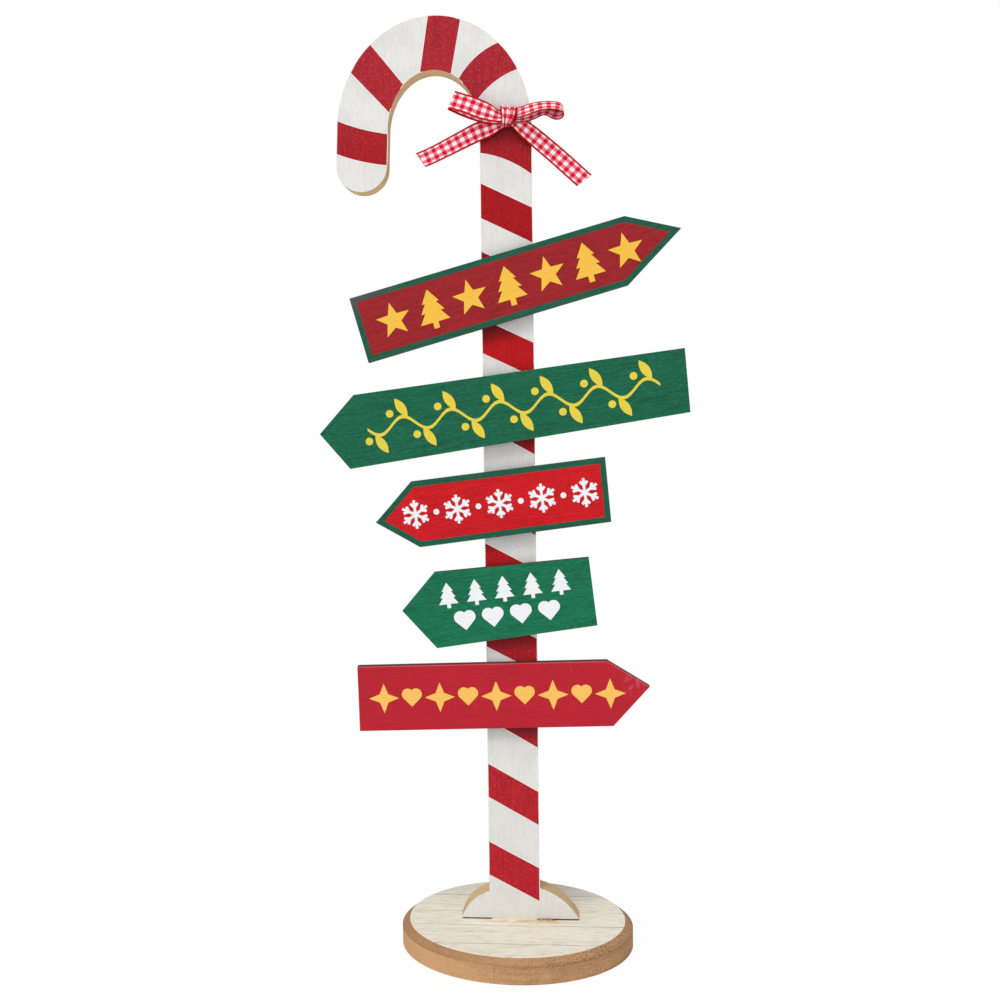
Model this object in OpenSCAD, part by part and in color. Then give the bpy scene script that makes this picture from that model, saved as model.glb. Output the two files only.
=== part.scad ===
// Christmas direction sign: a candy-cane post on a round base, with five arrow
// boards glued across its front and a tied ribbon bow under the hook.
// X runs to the right, Y away from the viewer and Z up. The origin is the middle
// of the base's underside.

/* [Base] */
// Diameter of the round base
base_d = 138; // [124:1:170]
// Thickness of the base's board, without its facing
base_t = 13.7; // [11:0.1:20]
// Width of the sloping edge round the base's top, seen from above
bevel_w = 4.5; // [1:0.5:8]
// Height of that sloping edge
bevel_h = 3.2; // [1:0.2:6]
// Thickness of the pale wood facing on top of the base
facing_t = 0.3; // [0.2:0.1:1]

/* [Cane] */
// Thickness of the board that the cane is cut from
cane_t = 15.5; // [12:0.5:20]
// Width of the post and of the hook's leg
cane_w = 30; // [26:0.5:34]
// Place of the post's middle line, right of the base's middle
post_x = -1.2; // [-4:0.2:4]
// Place of the cane's front face, in front of the base's middle
cane_front = 4.7; // [0:0.1:9]
// Height of the post over the base, up to where the hook's arch starts
post_l = 469; // [440:1:500]
// Distance from the post's middle line to that of the hook's leg
hook_reach = 83.7; // [78:0.1:96]
// Height of the arch's outer edge over its start
arch_rise = 65.5; // [56:0.5:76]
// Width of the cane at the crown of the arch
crown_w = 31; // [24:0.5:34]
// Length of the leg, from the arch to the middle of its round tip
leg_l = 19.5; // [12:0.5:30]
// How far the tip leans away from the post
tip_lean = 0.8; // [0:0.1:4]
// Thickness of the paint on the cane and the boards
paint_t = 0.2; // [0.1:0.05:0.4]

/* [Foot] */
// Reach of the left flare past the post
flare_left_w = 16.6; // [10:0.2:22]
// Height of the left flare where it meets the post
flare_left_h = 17; // [10:0.5:24]
// Reach of the right flare past the post
flare_right_w = 23.4; // [14:0.2:28]
// Height of the right flare where it meets the post
flare_right_h = 19.3; // [12:0.5:26]
// How far each flare's edge swells past a straight line
flare_swell = 2.9; // [0:0.1:4]
// Open joint under each flare, which doesn't quite reach the base
foot_gap = 0.7; // [0.3:0.1:1.2]
// Width of the tenon in the middle of the foot
tenon_w = 27; // [18:0.5:32]
// Length of the tenon, which goes down into the base
tenon_l = 9; // [6:0.5:10.5]
// Clearance round the tenon and under it
tenon_gap = 0.2; // [0.1:0.05:0.5]

/* [Stripes] */
// Height of each red stripe, measured up the post
stripe_h = 20.5; // [12:0.5:26]

/* [Boards] */
// Thickness of the arrow boards
board_t = 5.8; // [4:0.2:9]
// Width of the green border on the boards that have one
border_w = 3.4; // [1.5:0.1:5]
// Height of the printed figures on the boards with one small row
figure_h = 17; // [12:0.5:20]
// Width of the printed lines
line_w = 2; // [1.2:0.1:2.5]

/* [Top board] */
// Place of the butt end's middle, left of the post's middle line
top_x = 87.1; // [76:0.1:98]
// Height of that point over the base
top_z = 353.1; // [350:0.1:357]
// Tilt, rising towards the point
top_tilt = 15.2; // [10:0.1:18]
// Length from the butt end to the shoulders
top_l = 161.3; // [130:0.1:180]
// Height of the board at its butt end
top_butt_h = 39.2; // [34:0.1:44]
// Height of the board at its shoulders
top_head_h = 38.4; // [34:0.1:44]
// Length of the point, from the shoulders on
top_point = 33; // [20:0.1:42]

/* [Second board] */
// Place of the butt end's middle, right of the post's middle line
second_x = 102.8; // [92:0.1:112]
// Height of that point over the base
second_z = 320.5; // [317:0.1:322]
// Tilt, dropping towards the point
second_tilt = 7.8; // [5:0.1:10]
// Length from the butt end to the shoulders
second_l = 197; // [170:0.1:210]
// Height of the board at its butt end
second_butt_h = 37; // [32:0.1:42]
// Height of the board at its shoulders
second_head_h = 42.9; // [37:0.1:46]
// Length of the point, from the shoulders on
second_point = 19.1; // [12:0.1:30]

/* [Third board] */
// Place of the butt end's middle, right of the post's middle line
third_x = 57.1; // [50:0.1:66]
// Height of that point over the base
third_z = 258; // [255:0.1:260]
// Tilt, dropping towards the point
third_tilt = 6.8; // [4:0.1:9]
// Length from the butt end to the shoulders
third_l = 113.4; // [100:0.1:130]
// Height of the board at its butt end
third_butt_h = 37.9; // [32:0.1:42]
// Height of the board at its shoulders
third_head_h = 39.1; // [34:0.1:43]
// Length of the point, from the shoulders on
third_point = 24; // [14:0.1:32]

/* [Fourth board] */
// Place of the butt end's middle, right of the post's middle line
fourth_x = 47.9; // [42:0.1:56]
// Height of that point over the base
fourth_z = 198.4; // [195:0.1:202]
// Tilt, dropping towards the point
fourth_tilt = 6.7; // [4:0.1:9]
// Length from the butt end to the shoulders
fourth_l = 93; // [84:0.1:110]
// Height of the board at its butt end
fourth_butt_h = 40.2; // [36:0.1:44]
// Height of the board at its shoulders
fourth_head_h = 44.8; // [40:0.1:48]
// Length of the point, from the shoulders on
fourth_point = 19.7; // [12:0.1:30]

/* [Bottom board] */
// Place of the butt end's middle, left of the post's middle line
bottom_x = 91.3; // [80:0.1:100]
// Height of that point over the base
bottom_z = 134.6; // [128:0.1:138]
// Tilt, rising towards the point
bottom_tilt = 1.4; // [-1:0.1:3]
// Length from the butt end to the shoulders
bottom_l = 148.8; // [130:0.1:165]
// Height of the board at its butt end
bottom_butt_h = 38.9; // [34:0.1:44]
// Height of the board at its shoulders
bottom_head_h = 38.7; // [34:0.1:44]
// Length of the point, from the shoulders on
bottom_point = 23; // [14:0.1:32]

/* [Bow] */
// Width of the ribbon
ribbon_w = 10.2; // [8:0.2:12]
// Thickness of the ribbon
ribbon_t = 0.5; // [0.3:0.1:0.8]
// Height of the knot over the start of the arch
knot_z = 5.6; // [-4:0.2:12]
// Place of the knot's middle, right of the post's middle line
knot_x = 2.2; // [-3:0.2:4]
// Width of the knot
knot_w = 9.8; // [8:0.2:14]
// Height of the knot
knot_h = 12.6; // [10:0.2:16]
// How far the knot stands out from the cane
knot_t = 7.6; // [6:0.2:10]
// Reach of the left loop from the middle of the knot
left_loop_l = 34; // [24:0.5:40]
// Reach of the right loop from the middle of the knot
right_loop_l = 32; // [24:0.5:40]
// Length of the left tail from the middle of the knot
left_tail_l = 56; // [40:0.5:70]
// Length of the right tail from the middle of the knot
right_tail_l = 57; // [40:0.5:70]
// How far the left loop opens, from its front strand to its back one
left_loop_open = 7.5; // [4:0.5:9]
// How far the right loop opens
right_loop_open = 6; // [4:0.5:8]
// How far the left loop's turn stands forward of the knot
left_loop_forward = 3; // [2:0.5:8]
// How far the right loop's turn stands forward of the knot
right_loop_forward = 5.5; // [5:0.5:10]

/* [Hidden] */
$fn = 64;

base_top = base_t + facing_t;
arch_z = base_top + post_l;
post_left = post_x - cane_w / 2;
post_right = post_x + cane_w / 2;
arch_x = post_x - hook_reach / 2;
leg_x = post_x - hook_reach;
// Half widths and rises of the arch's outer and inner edges
outer_a = hook_reach / 2 + cane_w / 2;
inner_a = hook_reach / 2 - cane_w / 2;
inner_rise = arch_rise - crown_w;
// Front surfaces, from the cane's bare face outwards
cane_y = -cane_front;
paint_y = cane_y - paint_t;
board_y = paint_y - board_t;
field_y = board_y - paint_t;
print_y = field_y - paint_t;
// A cut goes this far past the face it opens
through = 1;

// Each red stripe of the post: height over the base of its lower left corner, drop
// of its lower edge to the right, and how far that edge swells upwards
post_stripes = [[27, 16, 0], [74.3, 17, 0], [121.5, 17.5, 0], [165, 15.5, 0],
    [206.5, 16, 0], [247.5, 16.5, 0], [295.5, 17, 0], [338.5, 14.7, 0],
    [377.5, 15, 0], [417, 15, 0], [454.6, 13.5, 2.2]];
// Each red stripe of the arch, as angles round it from the post's side: its first
// edge at the outer and inner side, its second edge likewise, and the edges' swell
arch_stripes = [[30, 24.5, 48, 56.5, 2.6], [73, 66.5, 92.5, 106.5, 0],
    [129.5, 129.5, 148, 162.5, 0]];
// The red stripe of the leg: heights over the arch's start of its upper and lower
// edge, each at the outer and the inner side, and how far both sag
leg_stripe = [7.8, -1.3, -12, -19.8, 1.1];

// How far each board's upper shoulder lies past its lower one, how far its point
// lies over the middle line, and how far its butt end leans, all small
top_skew = 8.3;
top_rise = 3.3;
top_lean = -0.2;
second_skew = -8.5;
second_rise = 1.6;
second_lean = -1;
third_skew = 0.4;
third_rise = -1.8;
third_lean = -0.6;
fourth_skew = -4;
fourth_rise = 2.1;
fourth_lean = 0;
bottom_skew = -2.4;
bottom_rise = 3.6;
bottom_lean = 0;

// Angles of the bow in degrees: each loop's rise over the level, and how far the
// right loop's top leans away; each tail's direction from +X, and its bend
left_loop_lift = 20;
right_loop_lift = 8;
right_loop_roll = -40;
left_tail_angle = 203;
right_tail_angle = 319;
tail_bend = 4;

cane_red = [0.70, 0.13, 0.17];
cane_white = [0.90, 0.89, 0.87];
raw_board = [0.75, 0.60, 0.43];
plywood = [0.55, 0.42, 0.30];
green = [0.13, 0.44, 0.33];
dark_red = [0.65, 0.15, 0.19];
bright_red = [0.80, 0.12, 0.16];
crimson = [0.77, 0.16, 0.22];
yellow = [0.93, 0.75, 0.27];
pale_yellow = [0.88, 0.80, 0.25];
white = [0.93, 0.93, 0.94];
pale_orange = [0.98, 0.76, 0.37];
ribbon_red = [0.84, 0.06, 0.14];

// Points from p to q on a line that swells to its left by s in the middle
function swelled(p, q, s, n = 8) = [for (i = [0 : n])
    let (t = i / n, d = q - p)
    p + t * d + 4 * s * t * (1 - t) * [-d.y, d.x] / norm(d)];
// Points round a half ellipse from angle a0 to a1
function oval(x, z, a, b, a0, a1, n) = [for (i = [0 : n])
    let (t = a0 + (a1 - a0) * i / n) [x + a * cos(t), z + b * sin(t)]];
// The same points in the other order
function reversed(p) = [for (i = [len(p) - 1 : -1 : 0]) p[i]];

// The cane's outline, from the left end of the foot round the hook; below is how
// far it goes down into the base between the flares
foot_left = post_left - flare_left_w;
foot_right = post_right + flare_right_w;
tip_x = leg_x - tip_lean;
tip_z = arch_z - leg_l;
arch_steps = 40;
function cane_outline(below) = concat(
    [[tenon_left, base_top - below], [tenon_left, base_top + foot_gap]],
    swelled([foot_left, base_top + foot_gap], [post_left, base_top + flare_left_h],
        flare_swell),
    oval(arch_x, arch_z, inner_a, inner_rise, 0, 180, arch_steps),
    reversed(oval(tip_x, tip_z, cane_w / 2, cane_w / 2, 180, 360, arch_steps / 2)),
    reversed(oval(arch_x, arch_z, outer_a, arch_rise, 0, 180, arch_steps)),
    swelled([post_right, base_top + flare_right_h], [foot_right, base_top + foot_gap],
        flare_swell),
    [[tenon_right, base_top + foot_gap], [tenon_right, base_top - below]]);
tenon_left = post_x - tenon_w / 2;
tenon_right = post_x + tenon_w / 2;

// Stands a flat outline up as a slab whose front lies at y
module slab(y, t) {
    translate([0, y + t, 0])
        rotate([90, 0, 0])
            linear_extrude(t)
                children();
}

module mortise() {
    side = cane_t + 2 * tenon_gap;
    translate([tenon_left - tenon_gap, cane_y - tenon_gap, base_top - tenon_l - tenon_gap])
        cube([tenon_w + 2 * tenon_gap, side, tenon_l + tenon_gap + through]);
}

module base_disc() {
    color(raw_board)
        difference() {
            union() {
                cylinder(d = base_d, h = base_t - bevel_h);
                translate([0, 0, base_t - bevel_h])
                    cylinder(d1 = base_d, d2 = base_d - 2 * bevel_w, h = bevel_h);
            }
            mortise();
        }
}

module base_facing() {
    color(cane_white)
        difference() {
            translate([0, 0, base_t])
                cylinder(d = base_d - 2 * bevel_w, h = facing_t);
            mortise();
        }
}

module cane() {
    color(raw_board)
        slab(cane_y, cane_t)
            polygon(cane_outline(tenon_l));
}

// One stripe across the post, cut square at both of the post's edges
module post_stripe(low, drop, swell) {
    lower = swelled([post_left, base_top + low], [post_right, base_top + low - drop], swell);
    polygon(concat(lower, [for (p = reversed(lower)) p + [0, stripe_h]]));
}

// A point at an angle round the arch, from its inner edge (0) to its outer (1)
function arch_point(angle, out) =
    [arch_x + (inner_a + (outer_a - inner_a) * out) * cos(angle),
     arch_z + (inner_rise + (arch_rise - inner_rise) * out) * sin(angle)];
// A straight or swelled edge across the arch, a little longer at both ends
function arch_edge(outer, inner, swell) =
    let (p = arch_point(outer, 1), q = arch_point(inner, 0), past = 0.1 * (p - q))
    concat([p + past], swelled(p, q, swell), [q - past]);

module arch_stripe(s) {
    polygon(concat(arch_edge(s[0], s[1], -s[4]), reversed(arch_edge(s[2], s[3], -s[4]))));
}

// The stripe of the leg, from outside its outer edge to outside its inner one
module leg_band(s) {
    left = leg_x - cane_w / 2 - tip_lean;
    right = leg_x + cane_w / 2;
    upper = swelled([left, arch_z + s[0]], [right, arch_z + s[1]], -s[4]);
    lower = swelled([left, arch_z + s[2]], [right, arch_z + s[3]], -s[4]);
    past = [through, 0];
    polygon(concat([upper[0] - past], upper, [upper[len(upper) - 1] + past],
        [lower[len(lower) - 1] + past], reversed(lower), [lower[0] - past]));
}

module red_stripes() {
    intersection() {
        polygon(cane_outline(0));
        union() {
            for (s = post_stripes)
                post_stripe(s[0], s[1], s[2]);
            for (s = arch_stripes)
                arch_stripe(s);
            leg_band(leg_stripe);
        }
    }
}

module cane_red_stripes() {
    color(cane_red)
        slab(paint_y, paint_t)
            red_stripes();
}

module cane_white_paint() {
    color(cane_white)
        slab(paint_y, paint_t)
            difference() {
                polygon(cane_outline(0));
                red_stripes();
            }
}

// An arrow board's outline with its butt end at the origin and its point along +X
function arrow(l, butt_h, head_h, point, skew, rise, lean) = [
    [-lean, -butt_h / 2], [l - skew / 2, -head_h / 2], [l + point, rise],
    [l + skew / 2, head_h / 2], [lean, butt_h / 2]];
// The point where the lines p-q and r-s cross
function crossing(p, q, r, s) =
    let (u = q - p, v = s - r, w = r - p)
    p + u * (w.x * v.y - w.y * v.x) / (u.x * v.y - u.y * v.x);
// The outline drawn in by d on every side
function inset(p, d) = let (n = len(p)) [for (i = [0 : n - 1])
    let (a = p[(i + n - 1) % n], b = p[i], c = p[(i + 1) % n],
        u = (b - a) / norm(b - a), v = (c - b) / norm(c - b),
        across_u = d * [-u.y, u.x], across_v = d * [-v.y, v.x])
    crossing(a + across_u, b + across_u, b + across_v, c + across_v)];

top_arrow = arrow(top_l, top_butt_h, top_head_h, top_point, top_skew, top_rise, top_lean);
second_arrow = arrow(second_l, second_butt_h, second_head_h, second_point,
    second_skew, second_rise, second_lean);
third_arrow = arrow(third_l, third_butt_h, third_head_h, third_point,
    third_skew, third_rise, third_lean);
fourth_arrow = arrow(fourth_l, fourth_butt_h, fourth_head_h, fourth_point,
    fourth_skew, fourth_rise, fourth_lean);
bottom_arrow = arrow(bottom_l, bottom_butt_h, bottom_head_h, bottom_point,
    bottom_skew, bottom_rise, bottom_lean);

// Puts a board's outline in its place on the post; a board that points left is
// drawn the other way round
module put_right(x, z, tilt) {
    translate([post_x - x, base_top + z])
        rotate(tilt)
            children();
}
module put_left(x, z, tilt) {
    translate([post_x + x, base_top + z])
        rotate(tilt)
            mirror([1, 0])
                children();
}
module put_top() { put_right(top_x, top_z, top_tilt) children(); }
module put_second() { put_left(second_x, second_z, second_tilt) children(); }
module put_third() { put_left(third_x, third_z, third_tilt) children(); }
module put_fourth() { put_left(fourth_x, fourth_z, fourth_tilt) children(); }
module put_bottom() { put_right(bottom_x, bottom_z, bottom_tilt) children(); }

module ring_between(outer, d) {
    difference() {
        polygon(outer);
        polygon(inset(outer, d));
    }
}

// Printed figures, each about h high and centred on the origin
module star(h, tips, waist) {
    r = h / 2;
    polygon([for (i = [0 : 2 * tips - 1])
        let (a = 90 + 180 * i / tips, d = i % 2 == 0 ? r : r * waist) d * [cos(a), sin(a)]]);
}
module fir_tree(h) {
    polygon(h * [[-0.07, -0.5], [0.07, -0.5], [0.07, -0.34], [0.38, -0.34], [0.2, -0.08],
        [0.3, -0.08], [0.14, 0.16], [0.22, 0.16], [0, 0.5], [-0.22, 0.16], [-0.14, 0.16],
        [-0.3, -0.08], [-0.2, -0.08], [-0.38, -0.34], [-0.07, -0.34]]);
}
module heart(h) {
    side = 0.55 * h;
    translate([0, -0.42 * h])
        rotate(45)
            union() {
                square(side);
                translate([side, side / 2])
                    circle(d = side, $fn = 32);
                translate([side / 2, side])
                    circle(d = side, $fn = 32);
            }
}
module bar(from, to, w) {
    d = to - from;
    translate(from)
        rotate(atan2(d.y, d.x))
            translate([0, -w / 2])
                square([norm(d), w]);
}
module snowflake(h, w) {
    r = h / 2;
    arms = 6;
    for (i = [0 : arms - 1])
        rotate(90 + 360 / arms * i)
            union() {
                bar([0, 0], [r, 0], w);
                bar([0.5 * r, 0], [0.78 * r, 0.26 * r], w);
                bar([0.5 * r, 0], [0.78 * r, -0.26 * r], w);
            }
}
module leaf(l, w) {
    upper = swelled([-l / 2, 0], [l / 2, 0], w / 2);
    polygon(concat(upper, [for (i = [len(upper) - 2 : -1 : 1]) [upper[i].x, -upper[i].y]]));
}
// A vine that waves along +X, with a leaf at every crest and berries between
module vine(l, h, waves, w) {
    steps = 12 * waves;
    swing = 0.17 * h;
    mid = [for (i = [0 : steps]) [l * i / steps, swing * sin(360 * waves * i / steps)]];
    polygon(concat([for (p = mid) p + [0, w / 2]], [for (p = reversed(mid)) p - [0, w / 2]]));
    for (i = [0 : waves - 1])
        translate([l * (i + 0.25) / waves, 0])
            union() {
                translate([0, swing + 0.2 * h])
                    rotate(62)
                        leaf(0.5 * h, 0.2 * h);
                translate([l / waves * 0.5, -swing - 0.2 * h])
                    rotate(62)
                        leaf(0.5 * h, 0.2 * h);
                translate([l / waves * 0.25, swing + 0.1 * h])
                    circle(d = 0.17 * h, $fn = 24);
                translate([l / waves * 0.75, -swing - 0.1 * h])
                    circle(d = 0.17 * h, $fn = 24);
            }
}

// Lays the first and second figure in turn along a row of n
module row(n, first, pitch, y = 0) {
    for (i = [0 : n - 1])
        translate([first + i * pitch, y])
            children(i % $children);
}

module top_board() {
    color(plywood) slab(board_y, board_t) put_top() polygon(top_arrow);
}
module top_board_border() {
    color(green) slab(field_y, paint_t) put_top() ring_between(top_arrow, border_w);
}
module top_board_field() {
    color(dark_red) slab(field_y, paint_t) put_top() polygon(inset(top_arrow, border_w));
}
module top_board_print() {
    figures = 7;
    height = 1.25 * figure_h;
    first = border_w + 0.85 * height;
    color(yellow)
        slab(print_y, paint_t)
            put_top()
                row(figures, first, (top_l - first) / (figures - 1)) {
                    star(height, 5, 0.42);
                    fir_tree(1.1 * height);
                }
}

module second_board() {
    color(plywood) slab(board_y, board_t) put_second() polygon(second_arrow);
}
module second_board_field() {
    color(green) slab(field_y, paint_t) put_second() polygon(second_arrow);
}
module second_board_print() {
    margin = 0.08 * second_l;
    color(pale_yellow)
        slab(print_y, paint_t)
            put_second()
                translate([margin, 0])
                    vine(second_l - 1.6 * margin, 1.55 * figure_h, 6, line_w);
}

module third_board() {
    color(plywood) slab(board_y, board_t) put_third() polygon(third_arrow);
}
module third_board_border() {
    color(green) slab(field_y, paint_t) put_third() ring_between(third_arrow, border_w);
}
module third_board_field() {
    color(bright_red) slab(field_y, paint_t) put_third() polygon(inset(third_arrow, border_w));
}
module third_board_print() {
    figures = 9;
    first = border_w + 0.6 * figure_h;
    color(white)
        slab(print_y, paint_t)
            put_third()
                row(figures, first, (third_l - first) / (figures - 1)) {
                    snowflake(figure_h, 0.8 * line_w);
                    circle(d = 0.2 * figure_h, $fn = 24);
                }
}

module fourth_board() {
    color(plywood) slab(board_y, board_t) put_fourth() polygon(fourth_arrow);
}
module fourth_board_field() {
    color(green) slab(field_y, paint_t) put_fourth() polygon(fourth_arrow);
}
module fourth_board_print() {
    upper = 5;
    lower = 4;
    pitch = fourth_l / (upper + 0.6);
    first = 1.1 * pitch;
    row_gap = 0.2 * fourth_butt_h;
    color(white)
        slab(print_y, paint_t)
            put_fourth()
                union() {
                    row(upper, first, pitch, row_gap)
                        fir_tree(0.9 * figure_h);
                    row(lower, first + pitch / 2, pitch, -row_gap)
                        heart(0.8 * figure_h);
                }
}

module bottom_board() {
    color(plywood) slab(board_y, board_t) put_bottom() polygon(bottom_arrow);
}
module bottom_board_field() {
    color(crimson) slab(field_y, paint_t) put_bottom() polygon(bottom_arrow);
}
module bottom_board_print() {
    figures = 9;
    first = 0.9 * figure_h;
    color(pale_orange)
        slab(print_y, paint_t)
            put_bottom()
                row(figures, first, (bottom_l - first) / (figures - 1)) {
                    star(1.05 * figure_h, 4, 0.4);
                    heart(0.75 * figure_h);
                }
}

// A strip of ribbon along the points mid, with its width along the unit vectors
// across and its own width at each point
module strip(mid, across, widths) {
    last = len(mid) - 1;
    points = [for (i = [0 : last])
        let (along = mid[min(i + 1, last)] - mid[max(i - 1, 0)],
            face = cross(along, across[i]),
            n = face / norm(face) * ribbon_t / 2,
            w = across[i] * widths[i] / 2)
        each [mid[i] - w - n, mid[i] + w - n, mid[i] + w + n, mid[i] - w + n]];
    sides = [for (i = [0 : last - 1]) for (k = [0 : 3])
        let (a = 4 * i + k, b = 4 * i + (k + 1) % 4)
        each [[a, b + 4, b], [a, a + 4, b + 4]]];
    polyhedron(points, concat([[0, 1, 2, 3]], sides,
        [[4 * last + 3, 4 * last + 2, 4 * last + 1, 4 * last]]));
}

// The knot's middle, where all four strips start
knot = [post_x + knot_x, paint_y - knot_t / 2, arch_z + knot_z];
// Share of the ribbon's width that the knot leaves, and the share of a strip's
// length over which it opens to its full width
pinch = 0.55;
opening = 0.25;
loop_steps = 20;
tail_steps = 10;
// How far the tails lie off the cane's paint
stand_off = 1;

// Width of the ribbon at a share of the way out of the knot
function open_width(share) = ribbon_w * (pinch + (1 - pinch) * sin(90 * min(1, share / opening)));

// A loop on the right (side 1) or left (side -1) that leaves the knot in front,
// turns over at its reach and comes back behind; it swings forward of the knot,
// and roll leans its top to the viewer
module bow_loop(side, reach, lift, depth, roll, forward) {
    out = [side * cos(lift), 0, sin(lift)];
    up = [-side * sin(lift), 0, cos(lift)];
    viewer = [0, -1, 0];
    across = cos(roll) * up + sin(roll) * viewer;
    front = cos(roll) * viewer - sin(roll) * up;
    start = 0.02;
    turns = [for (i = [0 : loop_steps]) start + (1 - 2 * start) * i / loop_steps];
    mid = [for (t = turns) knot + reach * sin(180 * t) * out
        + forward * sin(180 * t) * viewer + depth / 2 * sin(360 * t) * front];
    strip(mid, [for (t = turns) across], [for (t = turns) open_width(sin(180 * t))]);
}

// A tail that leaves the knot behind the loops, at an angle from +X, and bends a
// little over its length
module bow_tail(reach, angle, bend) {
    turns = [for (i = [0 : tail_steps]) i / tail_steps];
    back = knot_t / 2 - stand_off;
    function heading(a) = [cos(a), 0, sin(a)];
    mid = [for (t = turns) knot + reach * t * heading(angle + bend * (1 - t))
        + [0, back * sin(90 * min(1, 4 * t)), 0]];
    strip(mid, [for (t = turns) heading(angle + bend * (1 - 2 * t) + 90)],
        [for (t = turns) open_width(t)]);
}

// The knot: upright folds side by side round a core, each a roll that bulges above
// and below the middle, all cut flat where they lie on the cane
module bow_knot() {
    folds = 5;
    fold_r = knot_w / folds * 0.62;
    bulge = 0.9;
    module ball(x, angle, share) {
        translate([x * (1 + 0.18 * cos(angle)),
            paint_y - (knot_t - fold_r) * sin(angle) * share,
            knot.z + (knot_h / 2 - fold_r) * cos(angle) * share])
            sphere(fold_r, $fn = 12);
    }
    difference() {
        for (i = [0 : folds - 1]) {
            place = i - (folds - 1) / 2;
            share = 1 - 0.03 * place * place;
            x = place * (knot_w - 2 * fold_r) / (folds - 1);
            for (half = [0, 1])
                translate([knot.x, 0, 0])
                    hull() {
                        ball(x, 90, bulge * share);
                        for (angle = [0, 30, 60])
                            ball(x, half * 180 + (1 - 2 * half) * angle, share);
                    }
        }
        translate([knot.x - knot_w, paint_y, knot.z - knot_h])
            cube([2 * knot_w, knot_t, 2 * knot_h]);
    }
    core = [0.8 * knot_w, 0.8 * knot_t, 0.6 * knot_h];
    translate([knot.x - core.x / 2, paint_y - core.y, knot.z - core.z / 2])
        cube(core);
}

module ribbon_bow() {
    color(ribbon_red)
        union() {
            bow_loop(-1, left_loop_l, left_loop_lift, left_loop_open, 0, left_loop_forward);
            bow_loop(1, right_loop_l, right_loop_lift, right_loop_open, right_loop_roll,
                right_loop_forward);
            bow_tail(left_tail_l, left_tail_angle, tail_bend);
            bow_tail(right_tail_l, right_tail_angle, -tail_bend);
            bow_knot();
        }
}

base_disc();
base_facing();
cane();
cane_white_paint();
cane_red_stripes();
top_board();
top_board_border();
top_board_field();
top_board_print();
second_board();
second_board_field();
second_board_print();
third_board();
third_board_border();
third_board_field();
third_board_print();
fourth_board();
fourth_board_field();
fourth_board_print();
bottom_board();
bottom_board_field();
bottom_board_print();
ribbon_bow();
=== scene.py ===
import math
import random

import bpy
import numpy as np
from mathutils import Matrix, Vector


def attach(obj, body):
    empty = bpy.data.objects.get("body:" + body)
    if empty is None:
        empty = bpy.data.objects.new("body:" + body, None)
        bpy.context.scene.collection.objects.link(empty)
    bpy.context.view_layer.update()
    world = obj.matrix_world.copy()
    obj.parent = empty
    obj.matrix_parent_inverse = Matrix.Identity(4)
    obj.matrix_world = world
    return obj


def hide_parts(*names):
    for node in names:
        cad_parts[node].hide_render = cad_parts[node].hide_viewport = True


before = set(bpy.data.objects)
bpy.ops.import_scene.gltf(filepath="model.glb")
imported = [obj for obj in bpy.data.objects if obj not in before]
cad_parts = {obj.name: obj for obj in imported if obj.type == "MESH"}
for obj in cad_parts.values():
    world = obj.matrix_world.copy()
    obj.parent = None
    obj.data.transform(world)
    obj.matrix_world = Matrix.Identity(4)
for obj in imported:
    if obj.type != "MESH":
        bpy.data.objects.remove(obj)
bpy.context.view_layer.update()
MM = 0.001

# The camera, as the reference picture gives it
CAMERA_AT = (0.01035, -0.82592, 0.31452)
CAMERA_YAW = math.radians(-5.672)
CAMERA_PITCH = math.radians(3.406)
CAMERA_ROLL = math.radians(0.973)
CAMERA_LENS = 50.03
CAMERA_SHIFT = (0.10816, 0.00258)
SENSOR_W = 36
NEAREST, FARTHEST = 0.01, 50


def make_camera():
    """Places the camera and makes it the scene's."""
    yaw, pitch, roll = CAMERA_YAW, CAMERA_PITCH, CAMERA_ROLL
    ahead = Vector((math.sin(yaw) * math.cos(pitch), math.cos(yaw) * math.cos(pitch),
                    -math.sin(pitch)))
    right = Vector((math.cos(yaw), -math.sin(yaw), 0))
    down = ahead.cross(right)
    right, down = (right * math.cos(roll) + down * math.sin(roll),
                   down * math.cos(roll) - right * math.sin(roll))
    data = bpy.data.cameras.new("camera")
    data.lens = CAMERA_LENS
    data.sensor_width = SENSOR_W
    data.shift_x, data.shift_y = CAMERA_SHIFT
    data.clip_start = NEAREST
    data.clip_end = FARTHEST
    camera = bpy.data.objects.new("camera", data)
    bpy.context.scene.collection.objects.link(camera)
    turn = Matrix((right, -down, -ahead)).transposed().to_4x4()
    camera.matrix_world = Matrix.Translation(CAMERA_AT) @ turn
    bpy.context.scene.camera = camera


make_camera()

# How strongly every material's bumps show
BUMP_STRENGTH = 0.6


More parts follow.
